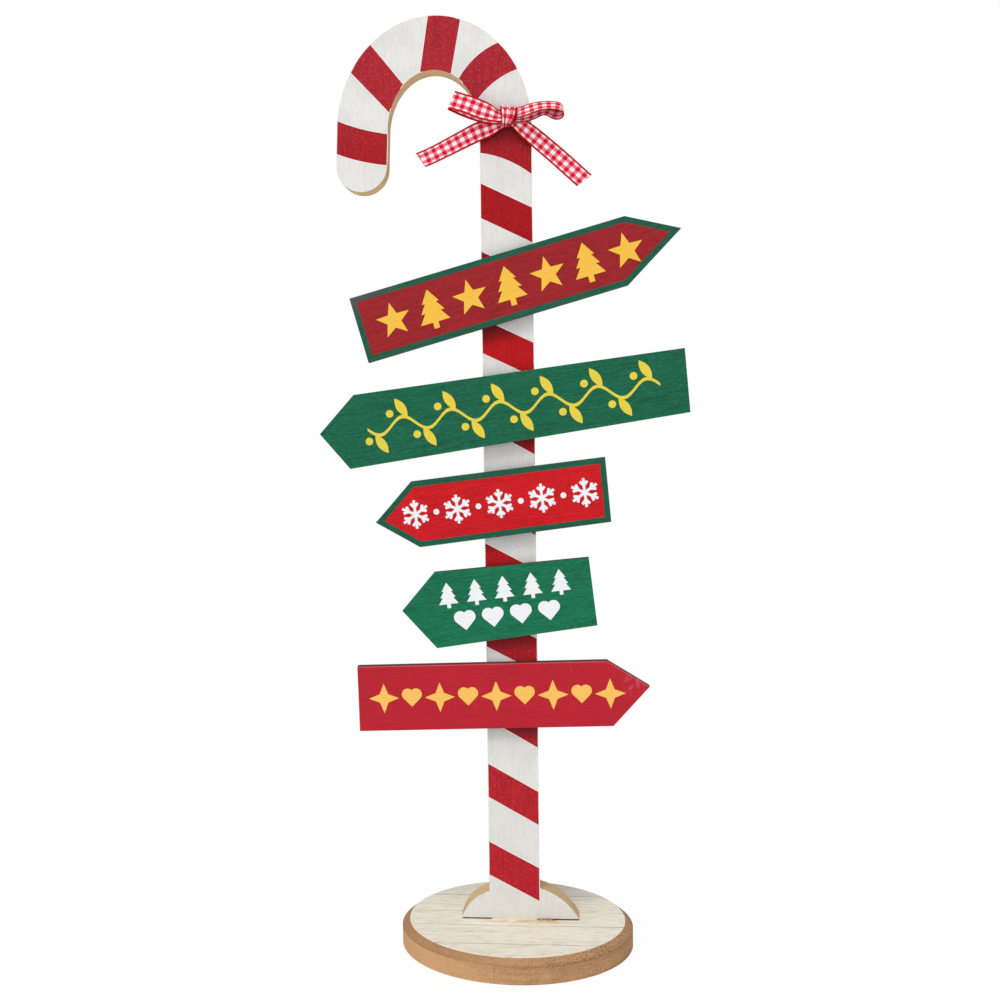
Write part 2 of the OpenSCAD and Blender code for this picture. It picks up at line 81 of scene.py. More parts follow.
class Graph:
    """A small helper that builds one material's node tree."""

    def __init__(self, name):
        self.material = bpy.data.materials.new(name)
        self.material.use_nodes = True
        self.tree = self.material.node_tree
        self.tree.nodes.clear()
        self.coords = self.add("TexCoord")

    def add(self, kind, inputs=None, **settings):
        node = self.tree.nodes.new("ShaderNode" + kind)
        for key, value in settings.items():
            setattr(node, key, value)
        for key, value in (inputs or {}).items():
            self.feed(node.inputs[key], value)
        return node

    def feed(self, socket, value):
        if isinstance(value, bpy.types.NodeSocket):
            self.tree.links.new(value, socket)
        else:
            socket.default_value = value

    def axes(self, kind="Object"):
        """The three parts of the point in metres, or of the normal or the UV point."""
        return self.add("SeparateXYZ", {"Vector": self.coords.outputs[kind]}).outputs

    def noise(self, changes, detail=4.0, roughness=0.55, tilt=0.0, offset=(0, 0, 0),
              distortion=0.0):
        """Noise with so many changes per metre along each axis, turned by tilt about Y."""
        turned = self.add("Mapping", {"Vector": self.coords.outputs["Object"],
                                      "Rotation": (0, tilt, 0)})
        point = self.add("Mapping", {"Vector": turned.outputs[0], "Scale": changes,
                                     "Location": offset})
        return self.add("TexNoise", {"Vector": point.outputs[0], "Scale": 1.0,
                                     "Detail": detail, "Roughness": roughness,
                                     "Distortion": distortion}).outputs["Fac"]

    def ramp(self, value, low, high, out_low=0.0, out_high=1.0):
        """Goes from out_low to out_high while value goes from low to high."""
        return self.add("MapRange", {"Value": value, "From Min": low, "From Max": high,
                                     "To Min": out_low, "To Max": out_high}).outputs[0]

    def math(self, operation, *values):
        """One Math node's result; the short forms of the common ones follow."""
        node = self.add("Math", operation=operation)
        for socket, value in zip(node.inputs, values):
            self.feed(socket, value)
        return node.outputs[0]

    def times(self, first, *others):
        for other in others:
            first = self.math("MULTIPLY", first, other)
        return first

    def plus(self, a, b):
        return self.math("ADD", a, b)

    def minus(self, a, b):
        return self.math("SUBTRACT", a, b)

    def larger(self, a, b):
        return self.math("MAXIMUM", a, b)

    def apart(self, a, b):
        """How far one value is from another."""
        return self.math("ABSOLUTE", self.minus(a, b))

    def diagonal(self, a, b):
        return self.math("SQRT", self.plus(self.times(a, a), self.times(b, b)))

    def within(self, value, low, high, soft=0.0003):
        """1 between low and high, 0 outside."""
        return self.times(self.ramp(value, low - soft, low + soft),
                          self.ramp(value, high + soft, high - soft))

    def mix(self, share, a, b):
        """Colour a with the given share of colour b."""
        node = self.add("Mix", data_type="RGBA")
        self.feed(node.inputs[0], share)
        self.feed(node.inputs[6], a)
        self.feed(node.inputs[7], b)
        return node.outputs[2]

    def finish(self, colour, roughness, height, depth, specular=0.35):
        """Ends the tree: a rough surface with bumps of the given depth in metres."""
        shader = self.add("BsdfPrincipled", {"Base Color": colour, "Roughness": roughness,
                                             "Specular IOR Level": specular})
        bump = self.add("Bump", {"Height": height, "Distance": depth,
                                 "Strength": BUMP_STRENGTH})
        self.tree.links.new(bump.outputs[0], shader.inputs["Normal"])
        return self.put_out(shader)

    def put_out(self, shader):
        """Makes the shader the material's surface."""
        out = self.add("OutputMaterial")
        self.tree.links.new(shader.outputs[0], out.inputs["Surface"])
        return self.material


def rgb(red, green, blue):
    """A screen colour from 0 to 255 as the linear colour that Blender takes."""
    def linear(c):
        c = c / 255
        return c / 12.92 if c <= 0.04045 else ((c + 0.055) / 1.055) ** 2.4
    return (linear(red), linear(green), linear(blue), 1.0)


def toned(colour, share):
    """The colour times share: darker below 1, paler above."""
    return tuple(c * share for c in colour[:3]) + (1.0,)


# How far each board's grain is turned, in degrees, as its board is tilted
TILTS = {"top": 15.2, "second": 7.8, "third": 6.8, "fourth": 6.7, "bottom": 1.4}
# Grain: noise stretched along the wood, in changes per metre
ALONG_X = (60.0, 60.0, 1150.0)
ALONG_Z = (1150.0, 60.0, 60.0)
# Specks where the paint lets the grain's threads through
SPECKS_X = (320.0, 60.0, 1500.0)
SPECKS_Z = (1250.0, 60.0, 900.0)
# Broad unevenness of the paint
CLOUDS = (60, 60, 60)

# Rubbed patch near the bottom board's point: colour, middle as (x, z), and reach
SCUFFED = rgb(222, 110, 122)
SCUFF_AT = (0.0705, 0.1578)
SCUFF_REACH = 0.0095
# Grey patch on the top board's left corner: colour, corner as (x, z), and the slope of the
# board's upper edge. Along that edge and below it the grey fades between two places
CORNER_GREY = rgb(86, 80, 82)
GREY_CORNER = (-0.0926, 0.3857)
TOP_SLOPE = math.tan(math.radians(TILTS["top"]))
GREY_ALONG = (0.006, 0.032)
GREY_BELOW = (0.002, 0.013)
# Contact shade on the cane: its reach below a board, and the way in which it looks for
# one, forward and up
SHADE_REACH = 0.0105
FEELER_Y, FEELER_Z = -0.64, 0.77


def worn_patch(g):
    """Light rubbed streaks round one place, and a few fine scratches everywhere."""
    point = g.axes()
    away = g.diagonal(g.minus(point[0], SCUFF_AT[0]), g.minus(point[2], SCUFF_AT[1]))
    streaks = g.ramp(g.noise((260, 60, 900), detail=3.0, tilt=0.9), 0.46, 0.62)
    patch = g.times(g.ramp(away, 0.3 * SCUFF_REACH, SCUFF_REACH, 0.4, 0.0), streaks)
    scratches = g.noise((1100, 60, 30), detail=1.0, tilt=0.12, offset=(3, 0, 8))
    return g.larger(patch, g.ramp(scratches, 0.745, 0.80, 0.0, 0.25))


def grey_corner_patch(g):
    """The grey patch along the upper edge of the top board's left corner."""
    point = g.axes()
    along = g.minus(point[0], GREY_CORNER[0])
    below_edge = g.minus(g.times(along, TOP_SLOPE), g.minus(point[2], GREY_CORNER[1]))
    near = g.times(g.ramp(along, *GREY_ALONG, 0.9, 0.0),
                   g.ramp(below_edge, *GREY_BELOW, 1.0, 0.0))
    blotch = g.noise((260, 60, 500), detail=3.0, tilt=0.27, offset=(2, 0, 6))
    return g.times(near, g.ramp(blotch, 0.32, 0.56, 0.55, 1.0))


def under_boards(g):
    """Soft contact shade where something juts out just above: 1 in the corner, 0 away
    from it."""
    way = g.add("CombineXYZ", {"Y": FEELER_Y, "Z": FEELER_Z}).outputs[0]
    feeler = g.add("AmbientOcclusion", {"Distance": SHADE_REACH, "Normal": way}, samples=12)
    return g.ramp(feeler.outputs["AO"], 0.40, 0.78, 1.0, 0.0)


def painted(name, colour, strength, seed, tilt=0.0, upright=False, higher=(), speck=None,
            field_marks=(), shaded=0.0):
    """Thin paint that lets the wood's brushed grain through, by strength. higher holds
    the colours that the paint changes to further up, each with the heights where the
    change starts and ends, and how many times as strong the bare threads get there.
    speck is the colour of those threads. field_marks holds pairs of a function that says where
    the paint is marked and the colour there, and shaded is how dark it gets right under a
    board."""
    g = Graph(name)
    grain = g.noise(ALONG_Z if upright else ALONG_X, detail=5.0, roughness=0.65, tilt=tilt,
                    offset=(seed, 0, seed))
    fine = g.noise(SPECKS_Z if upright else SPECKS_X, detail=3.0, roughness=0.75, tilt=tilt,
                   offset=(0, seed, 0))
    cloud = g.noise(CLOUDS, detail=3.0, offset=(seed, seed, 0))
    up = g.axes()[2]
    tone = colour
    bareness = strength
    for start, end, other, factor in higher:
        tone = g.mix(g.ramp(up, start, end), tone, other)
        bareness = g.times(bareness, g.ramp(up, start, end, 1.0, factor))
    streaks = g.plus(g.ramp(grain, 0.46, 0.64, 0.0, 0.8 * strength),
                     g.ramp(cloud, 0.4, 0.7, 0.0, 0.12))
    tone = g.mix(streaks, tone, toned(colour, 0.3))
    bare = g.times(g.ramp(fine, 0.52, 0.66), bareness)
    tone = g.mix(bare, tone, speck or toned(colour, 1.7))
    for where, mark_colour in field_marks:
        tone = g.mix(where(g), tone, mark_colour)
    if shaded:
        tone = g.mix(g.times(under_boards(g), shaded), tone, toned(colour, 0.12))
    height = g.plus(grain, g.times(fine, 0.5))
    return g.finish(tone, roughness=0.6, height=height, depth=0.0005, specular=0.18)


# Fibreboard's layers lie across its thickness: the base is flat, the cane stands
FLAT_LAYERS = (25, 25, 700)
UPRIGHT_LAYERS = (25, 700, 25)
# Height of the ridge where the base's upright edge turns into its sloping one
RIDGE_Z = 0.0105
# The faint upright seam in the base's front edge: its two sides, its reach along Y, and
# the height from which down it shows in full
SEAM_X = (-0.0124, -0.0120)
SEAM_Y = (-0.08, -0.05)
SEAM_FULL_Z = 0.009
# The pits in the base's edge: the stretch along X in which they get denser, and the
# height from which they begin to show
PITTED_X = (-0.01, 0.05)
PITTED_Z = 0.0075
# Where the base's left side, darker on its slope and with painted light below it, begins along
# X, and where it is reached in full
LEFT_SIDE_X = (0.0, -0.05)


def raw_board(name, colour, dark, layers, marks=None):
    """Bare fibreboard: tan, in faint layers, with a rough speckle. marks is a function
    that adds what one board shows beside that."""
    g = Graph(name)
    soft = g.noise((90, 90, 60))
    bands = g.noise(layers, roughness=0.6)
    fine = g.noise((1100, 1100, 1100), detail=3.0, roughness=0.7)
    tone = g.mix(g.ramp(soft, 0.35, 0.65, 0.0, 0.7), colour, dark)
    tone = g.mix(g.ramp(bands, 0.45, 0.65, 0.0, 0.55), tone, toned(dark, 0.76))
    tone = g.mix(g.ramp(fine, 0.5, 0.66, 0.0, 0.6), tone, toned(dark, 0.66))
    tone = g.mix(g.ramp(fine, 0.47, 0.34, 0.0, 0.5), tone, toned(colour, 1.3))
    if marks:
        tone = marks(g, tone, fine, colour, dark)
    return g.finish(tone, roughness=0.8, height=fine, depth=0.0003, specular=0.2)


def base_marks(g, tone, fine, colour, dark):
    """The base's edge: a paler slope, a rough ridge, a seam, pits at the right, and a left side
    that is darker on the slope and, as painted light, paler below it."""
    x, y, z = g.axes()
    facing_up = g.axes("Normal")[2]
    slope = g.times(g.ramp(facing_up, 0.3, 0.5), g.ramp(facing_up, 0.98, 0.9))
    upright = g.ramp(facing_up, 0.3, 0.1)
    left = g.ramp(x, *LEFT_SIDE_X)
    tone = g.mix(g.times(slope, 0.25), tone, toned(colour, 1.1))
    ridge = g.times(g.ramp(g.apart(z, RIDGE_Z), 0.0001, 0.0009, 0.5, 0.0),
                    g.ramp(fine, 0.4, 0.6))
    tone = g.mix(ridge, tone, toned(dark, 0.5))
    seam = g.times(g.within(x, *SEAM_X), g.within(y, *SEAM_Y),
                   g.ramp(z, RIDGE_Z, SEAM_FULL_Z, 0.0, 0.7))
    tone = g.mix(seam, tone, toned(dark, 0.4))
    pits = g.noise((900, 900, 1500), detail=2.0, roughness=0.7, offset=(3, 1, 2))
    pits = g.times(g.ramp(pits, 0.54, 0.60, 0.0, 0.75), g.ramp(x, *PITTED_X, 0.15, 1.0),
                   g.ramp(z, PITTED_Z, RIDGE_Z))
    tone = g.mix(pits, tone, toned(dark, 0.22))
    tone = g.mix(g.times(left, slope, 0.35), tone, toned(dark, 0.7))
    # Painted light: the left side's upright edge is paler
    return g.mix(g.times(left, upright, 0.65), tone, toned(colour, 1.3))


# The open joints under the foot's flares, where shade is painted: their reach along X, and the
# faces of the foot that they lie between
LEFT_JOINT = (-0.0325, -0.0155)
RIGHT_JOINT = (0.0215, 0.0370)
RAGGED_JOINT = (0.0110, 0.0230)
FOOT_FRONT = -0.0051
FOOT_BACK = 0.0106
# How far the ragged painted shade sticks out in front of the foot
RAGGED_SHADE_REACH = 0.0018
# The facing's plank joints along Y, how far they wander, how far each is at full
# strength and how far it reaches, and what makes each one broken in its own way
PLANK_JOINTS = (0.0372, 0.0085, -0.0147, -0.0442)
JOINT_WANDER = 0.0012
JOINT_HALF = (0.0002, 0.0008)
JOINT_SEED = 900
# The smear of glue in front of the foot: its middle, and along each axis how far it is
# at full strength and how far it reaches
SMEAR_AT = (0.008, -0.0078)
SMEAR_HALF_X = (0.014, 0.036)
SMEAR_HALF_Y = (0.0014, 0.0056)


def foot_gap_shade(g, x, y):
    """Painted shade in the open joints under the flares, ragged where the right one starts."""
    joints = g.larger(g.within(x, *LEFT_JOINT), g.within(x, *RIGHT_JOINT))
    solid = g.times(joints, g.within(y, FOOT_FRONT, FOOT_BACK), 0.95)
    ragged_shade_noise = g.noise((850, 850, 850), detail=3.0, roughness=0.7, offset=(5, 2, 0))
    ragged = g.times(g.ramp(ragged_shade_noise, 0.49, 0.54), g.within(x, *RAGGED_JOINT),
                     g.within(y, FOOT_FRONT - RAGGED_SHADE_REACH, FOOT_BACK), 0.85)
    return g.larger(solid, ragged)


def glue_smear(g, x, y):
    """A smear of glue along the front of the foot."""
    smear = g.times(g.ramp(g.apart(y, SMEAR_AT[1]), *SMEAR_HALF_Y, 1.0, 0.0),
                    g.ramp(g.apart(x, SMEAR_AT[0]), *SMEAR_HALF_X, 1.0, 0.0))
    return g.times(smear, g.ramp(g.noise((80, 160, 80)), 0.3, 0.6), 0.9)


def whitewashed():
    """The base's facing: pale planks along X with grain, joints, a smear of glue, and painted
    shade under the foot's flares.
    """
    g = Graph("whitewashed_wood")
    pale, tan, brown = rgb(255, 251, 236), rgb(212, 188, 146), rgb(160, 134, 98)
    joint_brown, glue, gap_shade_brown = rgb(132, 106, 80), rgb(216, 184, 138), rgb(88, 70, 50)
    grain = g.noise((38, 880, 60), detail=7.0, roughness=0.72, distortion=0.9)
    broad = g.noise((18, 90, 20), roughness=0.6, offset=(4, 2, 0), distortion=0.6)
    flecks = g.noise((95, 2100, 90), detail=3.0, roughness=0.7, offset=(1, 7, 0))
    tone = g.mix(g.ramp(grain, 0.50, 0.61, 0.0, 0.44), pale, tan)
    tone = g.mix(g.ramp(broad, 0.5, 0.75, 0.0, 0.12), tone, tan)
    tone = g.mix(g.ramp(flecks, 0.56, 0.63, 0.0, 0.55), tone, brown)
    x, y = g.axes()[:2]
    line = g.plus(y, g.times(g.noise((30, 30, 30), detail=2.0), JOINT_WANDER))
    for at in PLANK_JOINTS:
        joint = g.ramp(g.apart(line, at), *JOINT_HALF, 0.58, 0.0)
        broken = g.noise((55, 20, 20), offset=(at * JOINT_SEED, 0, 0))
        broken = g.ramp(broken, 0.35, 0.6, 0.25, 1.0)
        tone = g.mix(g.times(joint, broken), tone, joint_brown)
    tone = g.mix(glue_smear(g, x, y), tone, glue)
    # Painted shade in the open joints under the foot's flares
    tone = g.mix(foot_gap_shade(g, x, y), tone, gap_shade_brown)
    return g.finish(tone, roughness=0.65, height=grain, depth=0.0003, specular=0.2)


def board_wood(name, tilt):
    """A cut board: its edges are scorched dark, its back is plain wood."""
    g = Graph(name)
    scorched, less_scorched = rgb(58, 44, 40), rgb(98, 74, 60)
    plain, plain_grain = rgb(205, 172, 128), rgb(176, 138, 96)
    grain = g.noise(ALONG_X, detail=5.0, roughness=0.6, tilt=tilt)
    layers = g.noise((30, 900, 30), detail=2.0)
    edge = g.mix(g.ramp(layers, 0.4, 0.65), scorched, less_scorched)
    back = g.mix(g.ramp(grain, 0.35, 0.7), plain, plain_grain)
    facing_back = g.axes("Normal")[1]
    tone = g.mix(g.ramp(facing_back, 0.5, 0.8), edge, back)
    return g.finish(tone, roughness=0.7, height=grain, depth=0.0002, specular=0.2)


def printed(name, colour, tilt, seed):
    """A screen print: nearly even, with a little of the grain in it."""
    g = Graph(name)
    grain = g.noise(ALONG_X, detail=5.0, roughness=0.65, tilt=tilt, offset=(seed, 0, seed))
    fine = g.noise((500, 500, 900), detail=3.0, tilt=tilt, offset=(0, seed, 0))
    tone = g.mix(g.ramp(grain, 0.5, 0.75, 0.0, 0.3), colour, toned(colour, 0.75))
    tone = g.mix(g.ramp(fine, 0.6, 0.8, 0.0, 0.35), tone, toned(colour, 0.6))
    return g.finish(tone, roughness=0.5, height=grain, depth=0.0002)


# The bare board of the base and of the cane, each pale and dark. The cane's pair is paler:
# painted light for the light bounced up onto its edges
BASE_TAN, BASE_BROWN = rgb(198, 155, 112), rgb(176, 131, 91)
CANE_LIT_TAN, CANE_LIT_BROWN = rgb(233, 200, 152), rgb(211, 174, 126)
CANE_WHITE = rgb(230, 229, 224)
CANE_RED = rgb(190, 24, 38)
# The threads that show through the red, the lines along its stripes, and the painted highlight
# along the bottom board's upper edge
RED_SPECK = rgb(206, 82, 92)
RIDGE_WHITE = rgb(246, 240, 236)
RIM_HIGHLIGHT_RED = rgb(212, 84, 96)
GREEN_BORDER = rgb(26, 90, 68)
# Red paint further up the cane: the heights between which it changes, its colour from
# there on, and how many times as strong the bare threads get
REDS_HIGHER = (
    (0.13, 0.25, rgb(198, 0, 8), 0.3),
    (0.35, 0.37, rgb(172, 0, 8), 1.0),
    (0.45, 0.50, rgb(176, 28, 40), 4.0),
)
# Each field's and border's colour, seed and strength of grain
FIELDS = {
    "top_board_field": (rgb(155, 29, 35), 3.0, 0.42),
    "top_board_border": (GREEN_BORDER, 4.0, 0.4),
    "second_board_field": (rgb(18, 100, 70), 5.0, 0.6),
    "third_board_field": (rgb(204, 16, 26), 6.0, 0.4),
    "third_board_border": (GREEN_BORDER, 7.0, 0.4),
    "fourth_board_field": (rgb(16, 113, 78), 8.0, 0.6),
    "bottom_board_field": (rgb(189, 30, 46), 9.0, 0.17),
}
# Marks on the fields, each a function that says where and the colour there: the grey corner
# patch and the rubbed patch
FIELD_MARKS = {
    "top_board_border": ((grey_corner_patch, CORNER_GREY),),
    "bottom_board_field": ((worn_patch, SCUFFED),),
}
# Each print's colour and seed
PRINTS = {
    "top_board_print": (rgb(244, 190, 62), 10.0),
    "second_board_print": (rgb(228, 206, 62), 11.0),
    "third_board_print": (rgb(240, 240, 244), 12.0),
    "fourth_board_print": (rgb(240, 242, 244), 13.0),
    "bottom_board_print": (rgb(250, 194, 92), 14.0),
}


def dress(name, material):
    """Gives a CAD node's object one material."""
    node = bpy.data.objects[name]
    node.data.materials.clear()
    node.data.materials.append(material)


def tilt_of(name):
    """The tilt of the board that a node belongs to."""
    return math.radians(TILTS[name.split("_")[0]])


def dress_all():
    """Gives every CAD node its material."""
    dress("base_disc", raw_board("base_edge", BASE_TAN, BASE_BROWN, FLAT_LAYERS,
                                 base_marks))
    dress("base_facing", whitewashed())
    dress("cane", raw_board("cane_edge", CANE_LIT_TAN, CANE_LIT_BROWN, UPRIGHT_LAYERS))
    dress("cane_white_paint", painted("white_paint", CANE_WHITE, strength=0.10, seed=1.0,
                                      upright=True, shaded=0.18))
    dress("cane_red_stripes", painted("red_paint", CANE_RED, strength=0.45, seed=2.0,
                                      upright=True, higher=REDS_HIGHER, speck=RED_SPECK,
                                      shaded=0.62))
    for board in TILTS:
        dress(board + "_board", board_wood(board + "_wood", tilt_of(board)))
    for name, (colour, seed, strength) in FIELDS.items():
        dress(name, painted(name + "_paint", colour, strength, seed, tilt_of(name),
                            field_marks=FIELD_MARKS.get(name, ())))
    for name, (colour, seed) in PRINTS.items():
        dress(name, printed(name + "_ink", colour, tilt_of(name), seed))


dress_all()


# The thin lines along painted edges: how far they stand out, how wide they are, and
# how far in from the edge they start
LINE_LIFT = 0.00004
RIDGE_W, RIDGE_INSET = 0.0004, -0.0002
HIGHLIGHT_W, HIGHLIGHT_INSET = 0.0005, 0.0002
# The faces of one line's box, whose first four corners are its raised ones
LINE_FACES = ((0, 1, 2, 3), (7, 6, 5, 4), (0, 4, 5, 1), (1, 5, 6, 2), (2, 6, 7, 3),
              (3, 7, 4, 0))
# Edges shorter than this get no line, and a face whose normal's Y is below this one
# looks forward
SHORTEST_EDGE = 1e-5
FORWARD = -0.9
# Two edges touch if they are this nearly parallel, and at most this far apart along
# and off each other's line
SAME_WAY = 0.995
SAME_PLACE = 0.03
SAME_LINE = 0.0001
# Height of the bottom board's middle, to tell its upper edges from its lower ones
BOTTOM_BOARD_MIDDLE = 0.155


def front_edges(node):
    """The outline of a node's front face: pairs of corners, and for each the middle of
    the triangle inside."""
    mesh = bpy.data.objects[node].data
    found = {}
    for face in mesh.polygons:
        if face.normal.y > FORWARD:
            continue
        corners = [mesh.vertices[i].co.copy() for i in face.vertices]
        middle = sum(corners, Vector()) / len(corners)
        for a, b in zip(corners, corners[1:] + corners[:1]):
            key = frozenset((tuple(round(c, 6) for c in a), tuple(round(c, 6) for c in b)))
            found.setdefault(key, []).append((a, b, middle))
    return [sides[0] for sides in found.values() if len(sides) == 1]


def edge_lines(name, node, keep, width, inset, material):
    """Thin raised lines along those edges of a node's front face that keep accepts."""
    points, faces = [], []
    lift = Vector((0, -LINE_LIFT, 0))
    for a, b, middle in front_edges(node):
        along = b - a
        if along.length < SHORTEST_EDGE or not keep((a + b) / 2, along):
            continue
        along.normalize()
        inward = Vector((0, -1, 0)).cross(along)
        if inward.dot(middle - a) < 0:
            inward = -inward
        low, high = inward * inset, inward * (inset + width)
        start = len(points)
        points += [a + low + lift, b + low + lift, b + high + lift, a + high + lift]
        points += [a + low, b + low, b + high, a + high]
        faces += [[start + i for i in face] for face in LINE_FACES]
    mesh = bpy.data.meshes.new(name)
    mesh.from_pydata([tuple(p) for p in points], [], faces)
    mesh.materials.append(material)
    piece = bpy.data.objects.new(name, mesh)
    bpy.context.scene.collection.objects.link(piece)
    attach(piece, "root")


# The middle and the direction of every edge of the white paint
white_edges = [((edge[0] + edge[1]) / 2, (edge[1] - edge[0]).normalized())
               for edge in front_edges("cane_white_paint")]


def meets_white(at, along):
    """True where a red stripe's edge lies against white paint."""
    for other, way in white_edges:
        if abs(way.dot(along.normalized())) > SAME_WAY and (other - at).length < SAME_PLACE:
            offset = other - at
            if (offset - way * offset.dot(way)).length < SAME_LINE:
                return True
    return False


def faces_up(at, along):
    """True on the bottom board's upper edges."""
    return abs(along.x) > abs(along.z) and at.z > BOTTOM_BOARD_MIDDLE


edge_lines("stripe_ridges", "cane_red_stripes", meets_white, RIDGE_W, RIDGE_INSET,
           painted("ridge_paint", RIDGE_WHITE, strength=0.2, seed=20.0))
# A painted highlight along the bottom board's upper edges
edge_lines("bottom_board_edge_highlight", "bottom_board_field", faces_up, HIGHLIGHT_W, HIGHLIGHT_INSET,
           painted("rim_highlight_paint", RIM_HIGHLIGHT_RED, strength=0.3, seed=21.0))


# The ribbon bow. Each strand is given by stations along it, in millimetres: where
# its two edges are, as (x, y, z) pairs
RIBBON_W = 10.2
RIBBON_T = 0.28
BOARD_FACE = -10.9
LEFT_LOOP = [
    ((1.5, -9.5, 490.5), (1.5, -10.0, 485.5)),
    ((-5.3, -12.5, 492.0), (-4.2, -13.0, 484.9)),
    ((-9.1, -13.6, 495.0), (-9.2, -14.2, 485.3)),
    ((-14.1, -14.6, 497.7), (-17.1, -15.0, 487.3)),
    ((-20.7, -14.8, 500.4), (-24.7, -15.0, 490.6)),
    ((-28.3, -13.2, 503.0), (-32.7, -13.6, 493.2)),
    ((-29.6, -11.4, 503.4), (-34.2, -11.6, 493.1)),
    ((-28.6, -9.4, 502.7), (-33.0, -9.4, 492.2)),
    ((-20.0, -7.8, 498.9), (-24.6, -7.9, 488.2)),
    ((-12.0, -7.6, 494.6), (-14.6, -7.8, 484.6)),
    ((-5.0, -7.8, 490.4), (-6.0, -8.0, 483.4)),
    ((1.5, -8.0, 489.0), (1.5, -8.4, 484.0)),
]
RIGHT_LOOP = [
    ((1.0, -9.5, 490.8), (1.0, -10.5, 486.0)),
    ((6.6, -12.0, 492.6), (5.9, -13.4, 486.7)),
    ((12.6, -12.4, 494.5), (12.2, -16.6, 488.3)),
    ((18.5, -11.6, 495.5), (18.5, -18.4, 490.4)),
    ((24.8, -11.0, 495.5), (24.8, -18.8, 490.9)),
    ((29.2, -10.6, 494.8), (29.9, -18.6, 490.0)),
    ((31.3, -10.2, 493.3), (32.4, -18.0, 488.2)),
    ((31.8, -9.6, 491.9), (31.6, -16.8, 485.9)),
    ((29.6, -8.8, 491.5), (28.8, -15.8, 484.9)),
    ((26.4, -8.4, 491.9), (26.0, -15.2, 485.4)),
    ((21.0, -8.0, 492.8), (21.0, -14.4, 487.7)),
    ((14.4, -7.8, 490.8), (14.2, -12.6, 485.2)),
    ((7.5, -8.0, 489.0), (7.5, -10.2, 484.4)),
    ((1.0, -8.0, 488.0), (1.0, -8.6, 484.5)),
]
LEFT_TAIL = [
    ((2.0, -8.4, 487.5), (1.5, -8.4, 482.8)),
    ((-3.0, -8.0, 487.0), (-4.0, -8.0, 480.3)),
    ((-9.5, -7.2, 486.8), (-9.8, -7.2, 476.6)),
    ((-18.0, -6.4, 485.1), (-18.6, -6.4, 473.0)),
    ((-30.0, -6.6, 479.3), (-32.6, -6.6, 466.8)),
    ((-44.9, -7.2, 472.0), (-43.0, -7.2, 462.3)),
    ((-53.3, -7.9, 468.7), (-47.9, -7.9, 460.6)),
]
RIGHT_TAIL = [
    ((0.4, -8.6, 487.8), (-0.8, -8.6, 483.8)),
    ((6.8, -8.2, 487.4), (2.8, -8.2, 481.4)),
    ((12.6, -7.4, 484.1), (6.6, -7.6, 477.0)),
    ((18.6, -6.6, 479.6), (13.0, -6.6, 471.0)),
    ((30.8, -6.8, 469.0), (24.4, -6.8, 460.7)),
    ((40.0, -7.6, 460.5), (33.0, -7.6, 452.7)),
    ((48.2, -8.4, 452.8), (39.5, -8.4, 446.7)),
]
KNOT = [
    ((-1.6, -5.2, 484.5), (2.2, -5.2, 484.4)),
    ((-2.8, -8.0, 482.8), (1.8, -8.0, 482.2)),
    ((-3.2, -11.8, 483.6), (2.4, -11.8, 483.0)),
    ((-3.4, -13.5, 486.4), (3.5, -13.5, 485.6)),
    ((-3.7, -13.8, 489.8), (4.9, -13.8, 488.6)),
    ((-4.0, -12.2, 493.0), (5.6, -12.2, 491.4)),
    ((-3.8, -8.8, 494.0), (5.6, -8.8, 492.6)),
    ((-2.8, -5.3, 492.2), (4.8, -5.3, 491.2)),
]
# Rows to each span between stations, folds side by side in a gathered strand, and the
# share of the cut end's raggedness that goes inward
SPAN_ROWS = 10
FOLDS = 3.5
RAGGED_INWARD = 0.7


def at_depth(point):
    """Stations are given as they look in the plane of the boards' faces; this moves
    one along its line of sight to its own depth."""
    eye = np.array(CAMERA_AT) / MM
    x, y, z = point
    share = (y - eye[1]) / (BOARD_FACE - eye[1])
    return eye[0] + (x - eye[0]) * share, y, eye[2] + (z - eye[2]) * share


def smooth(points):
    """A curve through the points, with SPAN_ROWS steps to each span."""
    p = np.array([points[0]] + list(points) + [points[-1]], float)
    curve = []
    for i in range(1, len(p) - 2):
        a, b, c, d = p[i - 1:i + 3]
        for k in range(SPAN_ROWS):
            t = k / SPAN_ROWS
            curve.append(0.5 * (2 * b + (c - a) * t + (2 * a - 5 * b + 4 * c - d) * t * t
                                + (3 * b - 3 * c + d - a) * t ** 3))
    curve.append(p[-2])
    return np.array(curve)


def unit(vectors):
    """The vectors of an array, each made 1 long."""
    return vectors / np.linalg.norm(vectors, axis=-1, keepdims=True)


